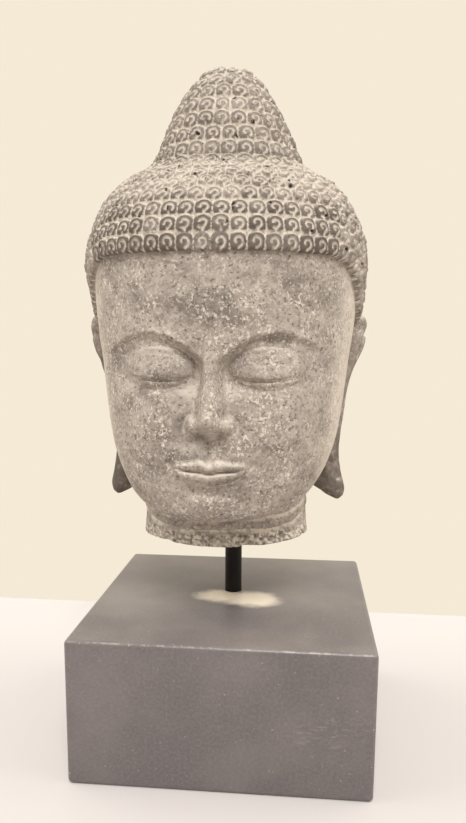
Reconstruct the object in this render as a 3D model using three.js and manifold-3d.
// A carved stone head of a Buddha held up by a steel rod on a square stone block.
// Millimetres, +Z up. The origin is the centre of the block's underside, the face looks along -Y,
// and +X is to the right of a person who looks at the face.

import * as THREE from "three";
import Module from "manifold-3d";

// Driving dimensions, in millimetres.
const BLOCK_WIDTH = 200;
const BLOCK_DEPTH = 200;
const BLOCK_HEIGHT = 100;
const BLOCK_EDGE = 1.2; // worn bevel on the arrises
const BLOCK_CORNER = 3; // radius of the upright corners

const ROD_DIAMETER = 12.7;
const ROD_SHOWN = 50; // bare rod between the block and the neck
const ROD_IN_BLOCK = 60;
const ROD_IN_HEAD = 90;
const ROD_BEVEL = 0.6;
const ROD_X = -1;
const ROD_Y = 11;
const ROD_CLEARANCE = 0.3; // gap round the rod, and past its ends, in both bores

const HEAD_HEIGHT = 329; // neck cut to the top of the hair
const HEAD_X = -7; // the head's upright centre line
const HEAD_Y = 15;

const CURL_WIDTH = 10.8; // along a row
const CURL_PITCH = 10.6; // from row to row
const CURL_STEP = 8; // curls in a row come in this number, so that neighbouring rows stay staggered
const HAIR_LIFT = 2.6; // the hair's ground stands this far off the skin
const CURL_HEIGHT = 4.3; // a curl's crown above the hair's ground
const JOINT_HEIGHT = 0.8; // the joint between two curls of a row above that ground
const HAIR_SINK = 5; // where there is no hair its surface runs this deep inside the head

// The head is laid out on the sculptor's canon: 23.5 digits from the neck cut to the top of the hair,
// and a face of three equal parts, from the chin to the nose, to the brow and to the hairline.
const DIGITS_HIGH = 23.5;
const DIGIT = HEAD_HEIGHT / DIGITS_HIGH;
const FACE_PART = 4;
const CHIN = 1.85;
const MOUTH = CHIN + 2.4;
const NOSE_BASE = CHIN + FACE_PART;
const BROW = NOSE_BASE + FACE_PART;
const EYE_LINE = BROW - 1.05;
const HAIRLINE = BROW + FACE_PART;
const CROWN_FOOT = 18.5; // where the topknot rises from the hair
const NAPE = 4.7; // lowest hair at the back

// Cross-sections of the head from the neck cut to the crown, in digits: the level at the front and at
// the back, the half width, the depth to the front and to the back of the centre line, and the number
// of rings up to the next section.
const SECTIONS = [
  { front: 0, back: 0, side: 4.42, face: 4.45, rear: 4.3, rings: 3 },
  { front: 1.0, back: 1.6, side: 4.3, face: 4.3, rear: 4.25, rings: 2 },
  { front: 1.65, back: 3.2, side: 4.33, face: 4.5, rear: 4.4, rings: 1 },
  { front: 1.58, back: 4.0, side: 4.42, face: 5.6, rear: 4.7, rings: 1 },
  { front: 1.85, back: 4.6, side: 4.85, face: 6.45, rear: 5.2, rings: 2 },
  { front: 2.8, back: 5.2, side: 5.36, face: 6.85, rear: 5.7, rings: 4 },
  { front: 4.2, back: 6.2, side: 5.8, face: 6.98, rear: 6.3, rings: 5 },
  { front: 5.9, back: 7.4, side: 6.06, face: 7.02, rear: 6.9, rings: 4 },
  { front: 7.4, back: 8.6, side: 6.22, face: 7.0, rear: 7.3, rings: 5 },
  { front: 8.9, back: 9.6, side: 6.36, face: 6.95, rear: 7.5, rings: 4 },
  { front: 10.2, back: 10.6, side: 6.52, face: 6.98, rear: 7.55, rings: 3 },
  { front: 12.1, back: 12.2, side: 6.68, face: 6.95, rear: 7.5, rings: 2 },
  { front: 14.0, back: 14.0, side: 6.76, face: 6.78, rear: 7.3, rings: 1 },
  { front: 15.95, back: 16.2, side: 6.15, face: 5.95, rear: 6.75, rings: 1 },
  { front: 17.25, back: 17.65, side: 5.08, face: 4.65, rear: 5.6 },
  { front: 18.15, back: 18.4, side: 3.68, face: 3.4, rear: 3.95 },
  { front: 19.3, back: 19.3, side: 3.1, face: 3.0, rear: 3.15 },
  { front: 20.8, back: 20.8, side: 2.42, face: 2.42, rear: 2.42 },
  { front: 22.2, back: 22.2, side: 1.55, face: 1.55, rear: 1.55 },
  { front: 22.85, back: 22.85, side: 0.8, face: 0.8, rear: 0.8 },
  { front: 23.06, back: 23.06, side: 0.25, face: 0.25, rear: 0.25 },
];
const PLAN_POWER = 2.2; // a little squarer than an ellipse in plan
const SKIN_TOP = 14; // number of the section under the hair at which the skin's own solid ends

// The ears in digits: level, outer and inner edge from the centre line, and half the depth.
const EAR_SECTIONS = [
  { level: 1.6, outer: 6.2, inner: 5.9, depth: 0.3 },
  { level: 1.8, outer: 6.4, inner: 5.5, depth: 0.55 },
  { level: 2.2, outer: 6.46, inner: 4.9, depth: 0.75 },
  { level: 2.6, outer: 6.42, inner: 4.3, depth: 0.84 },
  { level: 3.4, outer: 6.31, inner: 4.2, depth: 0.86 },
  { level: 4.4, outer: 6.21, inner: 4.5, depth: 0.86 },
  { level: 5.4, outer: 6.22, inner: 4.9, depth: 0.88 },
  { level: 6.3, outer: 6.3, inner: 5.3, depth: 0.96 },
  { level: 7.1, outer: 6.42, inner: 5.5, depth: 1.08 },
  { level: 7.9, outer: 6.6, inner: 5.6, depth: 1.22 },
  { level: 8.6, outer: 6.82, inner: 5.6, depth: 1.38 },
  { level: 9.3, outer: 7.08, inner: 5.6, depth: 1.48 },
  { level: 10.1, outer: 7.36, inner: 5.6, depth: 1.5 },
  { level: 10.8, outer: 7.46, inner: 5.8, depth: 1.3 },
  { level: 11.2, outer: 7.36, inner: 6.0, depth: 0.95 },
  { level: 11.48, outer: 7.0, inner: 6.3, depth: 0.4 },
];
const EAR_BACK = 0.6; // the ears' middle behind the centre line, in digits
const EAR_SHIFT = 0.06; // both ears stand this far towards the head's right, in digits
const EAR_SIDES = 12;

// The hair's edge in front of the ears: the angle from the front in degrees, and the drop below the
// hairline in digits. Behind the ears it falls to the nape.
const EDGE_DROP = [
  [0, 0],
  [46, 0],
  [56, 0.22],
  [64, 0.6],
  [70, 1.1],
  [76, 1.7],
  [82, 2.3],
  [90, 2.9],
  [100, 3.2],
];
const REAR_RISE = [100, 165]; // angles between which the rows of curls rise again at the back
const REAR_RISE_SHARE = 0.6;
const NAPE_EDGE = [
  [4.3, 128],
  [5.6, 116],
  [8.5, 110],
  [10.65, 100],
];

// Creases round the neck: level in front and level at the side, in digits.
const NECK_CREASES = [
  [0.72, 1.3],
  [1.28, 1.95],
];

const STONE = { color: 0x8f857a, roughness: 0.85, metalness: 0 };
const BLOCK_STONE = { color: 0x6f6763, roughness: 0.7, metalness: 0 };
const BLACK_STEEL = { color: 0x1b1714, roughness: 0.55, metalness: 0.6 };

const NECK_CUT = BLOCK_HEIGHT + ROD_SHOWN;
const radians = THREE.MathUtils.degToRad;
const degrees = THREE.MathUtils.radToDeg;

const wasm = await Module();
wasm.setup();

// Value at x of a smooth curve through keys [x, y] that never swings past them.
function through(keys, x) {
  const last = keys.length - 1;
  if (x <= keys[0][0]) return keys[0][1];
  if (x >= keys[last][0]) return keys[last][1];
  let i = 0;
  while (keys[i + 1][0] < x) i += 1;
  const slope = (j) => (keys[j + 1][1] - keys[j][1]) / (keys[j + 1][0] - keys[j][0]);
  const tangent = (j) => {
    if (j === 0) return slope(0);
    if (j === last) return slope(last - 1);
    const before = slope(j - 1);
    const after = slope(j);
    return before * after <= 0 ? 0 : (2 * before * after) / (before + after);
  };
  const width = keys[i + 1][0] - keys[i][0];
  const t = (x - keys[i][0]) / width;
  const h = 1 - t;
  return (
    keys[i][1] * (1 + 2 * t) * h * h +
    keys[i + 1][1] * (3 - 2 * t) * t * t +
    width * t * h * (tangent(i) * h - tangent(i + 1) * t)
  );
}

const columns = Object.fromEntries(
  ["front", "back", "side", "face", "rear"].map((name) => [
    name,
    SECTIONS.map((section, index) => [index, section[name]]),
  ]),
);

// A smooth hill of height 1 at 0 that ends at -1 and 1.
function hill(x) {
  const inside = Math.max(0, 1 - x * x);
  return inside * inside;
}

function smooth(edge0, edge1, x) {
  const t = THREE.MathUtils.clamp((x - edge0) / (edge1 - edge0), 0, 1);
  return t * t * (3 - 2 * t);
}

// The face, in digits: out from the middle and v up from the neck cut. All of it follows the canon.
const BROW_ARRIS = [
  [0, BROW - 0.75],
  [0.5, BROW - 0.5],
  [1.2, BROW + 0.02],
  [2.0, BROW + 0.4],
  [2.9, BROW + 0.55],
  [3.8, BROW + 0.42],
  [4.6, BROW + 0.08],
  [5.3, BROW - 0.4],
];
const EYE_OUT = 2.5;
const EYE_HALF = 1.58;
const MOUTH_HALF = 1.85;

function eyesRelief(out, v) {
  const below = through(BROW_ARRIS, out) - v;
  const ridge = 0.1 * hill(below / 0.6) * hill((out - 2.7) / 2.7);
  const reach = smooth(5.4, 4.0, out) * smooth(0.1, 0.9, out);
  const depth = (0.22 + 0.3 * smooth(2.8, 0.9, out)) * reach;
  const socket = -depth * smooth(-0.1, 0.9, below) * smooth(EYE_LINE - 1.7, EYE_LINE - 0.4, v);
  const across = (out - EYE_OUT) / EYE_HALF;
  const ball = Math.max(0, 1 - Math.pow(across / 1.12, 2) - Math.pow(v - EYE_LINE, 2));
  const width = Math.sqrt(hill(across / 1.06));
  const lidEdge = EYE_LINE - 0.5 + 0.2 * across * across;
  const slit = -0.12 * width * hill((v - lidEdge + 0.15) / 0.36);
  return ridge + socket + 0.46 * ball + slit;
}

function noseRelief(out, v) {
  const top = BROW - 0.3;
  const down = THREE.MathUtils.clamp((top - v) / (top - NOSE_BASE), 0, 1);
  const height = 0.34 + 1.02 * Math.pow(down, 1.1);
  const root = smooth(BROW + 0.9, BROW - 0.9, v);
  const foot = smooth(NOSE_BASE - 0.15, NOSE_BASE + 0.5, v);
  const bridge = height * (1 - smooth(0.12, 0.75 + 0.3 * down, out)) * root * foot;
  const tip = 0.24 * hill(out / 0.65) * hill((v - NOSE_BASE - 0.55) / 0.65);
  const wing = 0.62 * hill((out - 0.82) / 0.52) * hill((v - NOSE_BASE - 0.42) / 0.56);
  return bridge + tip + wing;
}

function mouthRelief(out, v) {
  const line = MOUTH + 0.15 * Math.pow(out / MOUTH_HALF, 2);
  const reach = Math.max(0, 1 - Math.pow(out / MOUTH_HALF, 2));
  const full = Math.pow(reach, 0.45);
  const bow = 0.05 * hill((out - 0.45) / 0.4);
  const upper = 0.3 * full * hill((v - line - 0.26 - bow) / 0.34);
  const lower = 0.36 * full * hill((v - line + 0.34) / 0.42);
  const gap = -0.12 * full * hill((v - line) / 0.2);
  const muzzle = 0.5 * hill(out / 2.7) * hill((v - MOUTH - 0.15) / 1.9);
  const under = -0.16 * hill(out / 1.7) * hill((v - MOUTH + 1.0) / 0.4);
  return upper + lower + gap + muzzle + under;
}

function faceRelief(u, v) {
  const out = Math.abs(u);
  const cheek = 0.34 * hill((out - 3.3) / 2.7) * hill((v - NOSE_BASE - 0.7) / 2.8);
  const chin = 0.5 * hill(out / 1.75) * hill((v - CHIN - 0.85) / 1.15);
  const urna = 0.16 * hill(Math.hypot(out, v - BROW - 1) / 0.5);
  return eyesRelief(out, v) + noseRelief(out, v) + mouthRelief(out, v) + cheek + chin + urna;
}

// How far the folds of the neck stand off the plain neck, in digits.
function neckRelief(angle, level) {
  const facing = Math.abs(Math.cos(angle));
  let relief = 0;
  NECK_CREASES.forEach(([front, side]) => {
    const crease = THREE.MathUtils.lerp(side, front, smooth(0, 1, facing));
    relief -= 0.1 * hill((level - crease) / 0.3);
  });
  return relief * smooth(-0.5, 0.2, Math.cos(angle));
}

// A point of the plain head on section number s, which may lie between two sections, at an angle
// from the front.
function plainPoint(s, angle) {
  const at = (name) => through(columns[name], s);
  const forward = Math.cos(angle);
  const sideways = Math.sin(angle);
  const level = THREE.MathUtils.lerp(at("back"), at("front"), (1 + forward) / 2);
  const power = 2 / PLAN_POWER;
  const x = Math.sign(sideways) * Math.pow(Math.abs(sideways), power) * at("side");
  const reach = forward > 0 ? -at("face") : at("rear");
  const y = reach * Math.pow(Math.abs(forward), power);
  return new THREE.Vector3(x * DIGIT + HEAD_X, y * DIGIT + HEAD_Y, level * DIGIT + NECK_CUT);
}

function outward(s, angle) {
  const step = 0.02;
  const top = SECTIONS.length - 1;
  const up = plainPoint(Math.min(s + step, top), angle).sub(plainPoint(Math.max(s - step, 0), angle));
  const round = plainPoint(s, angle + step).sub(plainPoint(s, angle - step));
  return round.cross(up).normalize();
}

function levelOf(point) {
  return (point.z - NECK_CUT) / DIGIT;
}

function skinPoint(s, angle) {
  const point = plainPoint(s, angle);
  const level = levelOf(point);
  const facing = smooth(0, 0.45, Math.cos(angle));
  point.y -= DIGIT * facing * faceRelief((point.x - HEAD_X) / DIGIT, level);
  const onNeck = smooth(1.9, 1.3, s);
  return point.addScaledVector(outward(s, angle), DIGIT * onNeck * neckRelief(angle, level));
}

// A closed solid from rings of points, lowest first, each running round the same way from the back.
// Neighbouring rings may have different numbers of points, and a crown is never joined to a crown
// where the two rings run level.
function solidFromRings(rings) {
  const vertices = [];
  const triangles = [];
  const starts = rings.map((ring) => {
    const start = vertices.length / 3;
    ring.forEach(({ point }) => vertices.push(point.x, point.y, point.z));
    return start;
  });
  for (let r = 0; r + 1 < rings.length; r += 1) {
    const lower = rings[r];
    const upper = rings[r + 1];
    const turn = (ring, i) => ring[i % ring.length].angle + (i < ring.length ? 0 : 2 * Math.PI);
    let i = 0;
    let j = 0;
    while (i < lower.length || j < upper.length) {
      const a = starts[r] + (i % lower.length);
      const b = starts[r + 1] + (j % upper.length);
      const ahead = turn(upper, j + 1) - turn(lower, i + 1);
      const spacing = Math.min(turn(lower, i + 1) - turn(lower, i), turn(upper, j + 1) - turn(upper, j));
      const level = Math.abs(ahead) < spacing * 0.75;
      const lowerNext = lower[(i + 1) % lower.length];
      const upperNext = upper[(j + 1) % upper.length];
      const fromCrown = lower[i % lower.length].isCrown && !upperNext.isCrown;
      const valley = !fromCrown && !lowerNext.isCrown && !upper[j % upper.length].isCrown;
      const stepLower = j >= upper.length || (i < lower.length && (level ? valley : ahead > 0));
      if (stepLower) {
        i += 1;
        triangles.push(a, starts[r] + (i % lower.length), b);
      } else {
        j += 1;
        triangles.push(a, starts[r + 1] + (j % upper.length), b);
      }
    }
  }
  const cap = (ring, start, flip) => {
    const middle = vertices.length / 3;
    const centre = new THREE.Vector3();
    ring.forEach(({ point }) => centre.add(point));
    centre.divideScalar(ring.length);
    vertices.push(centre.x, centre.y, centre.z);
    ring.forEach((_, k) => {
      const here = start + k;
      const next = start + ((k + 1) % ring.length);
      triangles.push(...(flip ? [middle, next, here] : [middle, here, next]));
    });
  };
  cap(rings[0], starts[0], true);
  cap(rings[rings.length - 1], starts[starts.length - 1], false);
  return manifold(vertices, triangles);
}

function manifold(vertices, triangles) {
  const made = new wasm.Manifold(
    new wasm.Mesh({
      numProp: 3,
      vertProperties: new Float32Array(vertices),
      triVerts: new Uint32Array(triangles),
    }),
  );
  if (made.volume() < 0) throw new Error("a solid is inside out");
  return made;
}

function solidOf(geometry) {
  const bare = geometry.index ? geometry.toNonIndexed() : geometry;
  const places = bare.getAttribute("position");
  const numbers = new Map();
  const vertices = [];
  const triangles = [];
  for (let i = 0; i < places.count; i += 1) {
    const at = [places.getX(i), places.getY(i), places.getZ(i)];
    const key = at.map((value) => Math.round(value * 1e4)).join();
    if (!numbers.has(key)) {
      numbers.set(key, vertices.length / 3);
      vertices.push(...at);
    }
    triangles.push(numbers.get(key));
  }
  const kept = [];
  for (let i = 0; i < triangles.length; i += 3) {
    const [a, b, c] = triangles.slice(i, i + 3);
    if (a !== b && b !== c && c !== a) kept.push(a, b, c);
  }
  return manifold(vertices, kept);
}

function geometryOf(solid) {
  const mesh = solid.getMesh();
  const geometry = new THREE.BufferGeometry();
  const places = new Float32Array(mesh.numVert * 3);
  for (let i = 0; i < mesh.numVert; i += 1) {
    places.set(mesh.vertProperties.subarray(i * mesh.numProp, i * mesh.numProp + 3), i * 3);
  }
  geometry.setAttribute("position", new THREE.BufferAttribute(places, 3));
  geometry.setIndex(new THREE.BufferAttribute(mesh.triVerts, 1));
  geometry.computeVertexNormals();
  return geometry;
}

// Angles round the head: close together over the face, wide apart behind.
function skinAngles() {
  const FRONT_STEPS = 16;
  const BACK_STEPS = 6;
  const FRONT_REACH = 0.93; // share of the half width that the close steps cover
  const half = [];
  for (let i = 0; i <= FRONT_STEPS; i += 1) {
    const share = FRONT_REACH * Math.pow(i / FRONT_STEPS, 1.2);
    half.push(Math.asin(Math.pow(share, PLAN_POWER / 2)));
  }
  const from = half[half.length - 1];
  for (let i = 1; i <= BACK_STEPS; i += 1) half.push(from + ((Math.PI - from) * i) / BACK_STEPS);
  const left = half.slice(1).map((angle) => -angle);
  return [...left.reverse(), ...half.slice(0, -1)];
}

function skin() {
  const angles = skinAngles();
  const rings = [];
  SECTIONS.slice(0, SKIN_TOP).forEach((section, index) => {
    for (let step = 0; step < section.rings; step += 1) {
      const s = index + step / section.rings;
      rings.push(angles.map((angle) => ({ angle, point: skinPoint(s, angle) })));
    }
  });
  return solidFromRings(rings);
}

// Level of the hair's edge in front of the ears.
function edgeLevel(angle) {
  return HAIRLINE - through(EDGE_DROP, degrees(Math.abs(angle)));
}

function hasHair(angle, level) {
  const behind = degrees(Math.abs(angle)) > through(NAPE_EDGE, level) && level > NAPE;
  return level > edgeLevel(angle) || behind;
}

// Section number at which the plain head reaches a level at an angle from the front.
function sectionAt(level, angle) {
  const HALVINGS = 24;
  let low = 5;
  let high = SECTIONS.length - 1;
  for (let i = 0; i < HALVINGS; i += 1) {
    const middle = (low + high) / 2;
    if (levelOf(plainPoint(middle, angle)) < level) low = middle;
    else high = middle;
  }
  return low;
}

// Section numbers one pitch apart along a meridian, from first towards last.
function walkRows(first, last, angle) {
  const STEP = 0.005 * Math.sign(last - first);
  const rows = [first];
  let walked = 0;
  let here = plainPoint(first, angle);
  for (let s = first + STEP; (last - s) * STEP > 0; s += STEP) {
    const next = plainPoint(s, angle);
    walked += here.distanceTo(next);
    here = next;
    if (walked < CURL_PITCH) continue;
    rows.push(s);
    walked = 0;
  }
  return rows;
}

// How far the lowest row over the forehead has sunk, in digits. It rises again behind the ears.
function rowDrop(angle) {
  const behind = smooth(REAR_RISE[0], REAR_RISE[1], degrees(Math.abs(angle)));
  return through(EDGE_DROP, degrees(Math.abs(angle))) * (1 - REAR_RISE_SHARE * behind);
}

// Rows of curls, lowest first, each as a function from an angle to a section number. The rows over the
// forehead follow the hairline, less and less towards the foot of the topknot. Grooves run between
// the rows from just below the first of them up.
function curlRows() {
  const FIRST_ROW = 0.42; // of a pitch above the hairline
  const LOWEST_SECTION = 4.2;
  const TOP_SECTION = SECTIONS.length - 1.35;
  const first = sectionAt(HAIRLINE + (FIRST_ROW * CURL_PITCH) / DIGIT, 0);
  const dome = walkRows(first, sectionAt(CROWN_FOOT, 0), 0);
  const topknot = walkRows(dome[dome.length - 1], TOP_SECTION, 0).slice(1);
  const overFace = dome.map((s, k) => {
    const level = levelOf(plainPoint(s, 0));
    const fade = 1 - k / (dome.length - 1);
    return (angle) => sectionAt(level - rowDrop(angle) * fade, angle);
  });
  const atBack = overFace[0](Math.PI);
  const lower = walkRows(atBack, LOWEST_SECTION, Math.PI)
    .slice(1)
    .map((s) => (angle) => overFace[0](angle) + s - atBack);
  const rows = [...lower.reverse(), ...overFace, ...topknot.map((s) => () => s)];
  return { rows, firstGrooved: lower.length - 1 };
}

function hairPoint(s, angle, lift) {
  return plainPoint(s, angle).addScaledVector(outward(s, angle), lift);
}

// One row as a ring: every second point is the crown of a curl, every other one the joint beside it.
function curlRing(row, rowIndex) {
  const BARE_STEP = radians(18);
  const widest = plainPoint(row(Math.PI / 2), Math.PI / 2).x - HEAD_X + HAIR_LIFT;
  const fitting = (2 * Math.PI * widest) / CURL_WIDTH;
  const curls = CURL_STEP * Math.max(1, Math.round(fitting / CURL_STEP));
  const ring = [];
  let lastBare = -Infinity;
  for (let i = 0; i < 2 * curls; i += 1) {
    const angle = -Math.PI + (Math.PI * (i + 0.5)) / curls;
    const s = row(angle);
    const joint = hairPoint(s, angle, HAIR_LIFT + JOINT_HEIGHT);
    const isCrown = (i + rowIndex) % 2 === 0;
    if (hasHair(angle, levelOf(joint))) {
      const point = isCrown ? hairPoint(s, angle, HAIR_LIFT + CURL_HEIGHT) : joint;
      ring.push({ angle, point, isCrown, isHair: true });
      lastBare = -Infinity;
    } else if (angle - lastBare > BARE_STEP) {
      ring.push({ angle, point: hairPoint(s, angle, -HAIR_SINK) });
      lastBare = angle;
    }
  }
  return ring;
}

// The groove between two rows, with one point over each joint of the lower row.
function grooveRing(ring, lower, upper) {
  return ring
    .filter(({ isCrown }) => !isCrown)
    .map(({ angle, isHair }) => {
      const s = (lower(angle) + upper(angle)) / 2;
      return { angle, point: hairPoint(s, angle, isHair ? HAIR_LIFT : -HAIR_SINK) };
    });
}

// The one curl on top, as a small ring that the solid closes over.
function topCurl() {
  const TOP_SIDES = 6;
  const s = SECTIONS.length - 1.15;
  const ring = [];
  for (let i = 0; i < TOP_SIDES; i += 1) {
    const angle = -Math.PI + (2 * Math.PI * (i + 0.5)) / TOP_SIDES;
    ring.push({ angle, point: hairPoint(s, angle, HAIR_LIFT + CURL_HEIGHT / 2) });
  }
  return ring;
}

// The hair, with neighbouring rows staggered.
function hair() {
  const { rows, firstGrooved } = curlRows();
  const rings = [];
  rows.forEach((row, rowIndex) => {
    const ring = curlRing(row, rowIndex);
    rings.push(ring);
    const next = rows[rowIndex + 1];
    if (rowIndex >= firstGrooved && next) rings.push(grooveRing(ring, row, next));
  });
  const FOOT_SECTION = 3.6;
  const foot = rings[0].map(({ angle }) => ({
    angle,
    point: hairPoint(FOOT_SECTION, angle, -2 * HAIR_SINK),
  }));
  return solidFromRings([foot, ...rings, topCurl()]);
}

// Depth of the hollow inside the ear's rim, and of the one in its lobe.
function earHollow(level) {
  const SHELL = { middle: 9.0, reach: 2.3, depth: 0.42 };
  const LOBE = { middle: 3.9, reach: 1.9, depth: 0.2 };
  const depths = [SHELL, LOBE].map(({ middle, reach, depth }) => depth * hill((level - middle) / reach));
  return depths[0] + depths[1];
}

function ear(side) {
  const rings = EAR_SECTIONS.map(({ level, outer, inner, depth }) => {
    const ring = [];
    for (let i = 0; i < EAR_SIDES; i += 1) {
      const angle = -Math.PI + (2 * Math.PI * i) / EAR_SIDES;
      const across = Math.sin(angle);
      const hollow = across > 0 ? earHollow(level) * hill(Math.cos(angle) / 0.75) : 0;
      const middle = (outer + inner) / 2 - EAR_SHIFT * side;
      const x = middle + ((outer - inner) / 2) * across - hollow;
      const y = EAR_BACK - depth * Math.cos(angle);
      const point = new THREE.Vector3(
        HEAD_X + side * x * DIGIT,
        HEAD_Y + y * DIGIT,
        NECK_CUT + level * DIGIT,
      );
      ring.push({ angle, point });
    }
    if (side < 0) {
      ring.reverse();
      ring.forEach((corner) => {
        corner.angle = -corner.angle;
      });
    }
    return ring;
  });
  return solidFromRings(rings);
}

// A round bar standing on z = bottom, with a small bevel at both ends.
function bar(radius, bottom, top, bevel) {
  const profile = [
    new THREE.Vector2(0, bottom),
    new THREE.Vector2(radius - bevel, bottom),
    new THREE.Vector2(radius, bottom + bevel),
    new THREE.Vector2(radius, top - bevel),
    new THREE.Vector2(radius - bevel, top),
    new THREE.Vector2(0, top),
  ];
  const BAR_SIDES = 32;
  return new THREE.LatheGeometry(profile, BAR_SIDES).rotateX(Math.PI / 2).translate(ROD_X, ROD_Y, 0);
}

function bore(bottom, top) {
  return solidOf(bar(ROD_DIAMETER / 2 + ROD_CLEARANCE, bottom, top, 0));
}

function headSolid() {
  const top = NECK_CUT + ROD_IN_HEAD + ROD_CLEARANCE;
  return skin().add(hair()).add(ear(1)).add(ear(-1)).subtract(bore(NECK_CUT - DIGIT, top));
}

function blockSolid() {
  const w = BLOCK_WIDTH / 2 - BLOCK_EDGE;
  const d = BLOCK_DEPTH / 2 - BLOCK_EDGE;
  const r = BLOCK_CORNER;
  const plan = new THREE.Shape();
  plan.moveTo(-w + r, -d);
  plan.lineTo(w - r, -d);
  plan.absarc(w - r, -d + r, r, -Math.PI / 2, 0);
  plan.lineTo(w, d - r);
  plan.absarc(w - r, d - r, r, 0, Math.PI / 2);
  plan.lineTo(-w + r, d);
  plan.absarc(-w + r, d - r, r, Math.PI / 2, Math.PI);
  plan.lineTo(-w, -d + r);
  plan.absarc(-w + r, -d + r, r, Math.PI, 1.5 * Math.PI);
  const CORNER_STEPS = 5;
  const geometry = new THREE.ExtrudeGeometry(plan, {
    depth: BLOCK_HEIGHT - 2 * BLOCK_EDGE,
    bevelThickness: BLOCK_EDGE,
    bevelSize: BLOCK_EDGE,
    bevelSegments: 2,
    curveSegments: CORNER_STEPS,
  }).translate(0, 0, BLOCK_EDGE);
  const floor = BLOCK_HEIGHT - ROD_IN_BLOCK - ROD_CLEARANCE;
  return solidOf(geometry).subtract(bore(floor, BLOCK_HEIGHT + DIGIT));
}

function named(name, geometry, finish) {
  const mesh = new THREE.Mesh(geometry, new THREE.MeshStandardMaterial(finish));
  mesh.name = name;
  return mesh;
}

const rodGeometry = bar(ROD_DIAMETER / 2, BLOCK_HEIGHT - ROD_IN_BLOCK, NECK_CUT + ROD_IN_HEAD, ROD_BEVEL);

const buddhaHead = new THREE.Group();
buddhaHead.name = "stone_buddha_head";
buddhaHead.add(named("head", geometryOf(headSolid()), STONE));
buddhaHead.add(named("rod", geometryOf(solidOf(rodGeometry)), BLACK_STEEL));
buddhaHead.add(named("block", geometryOf(blockSolid()), BLOCK_STONE));

export default buddhaHead;
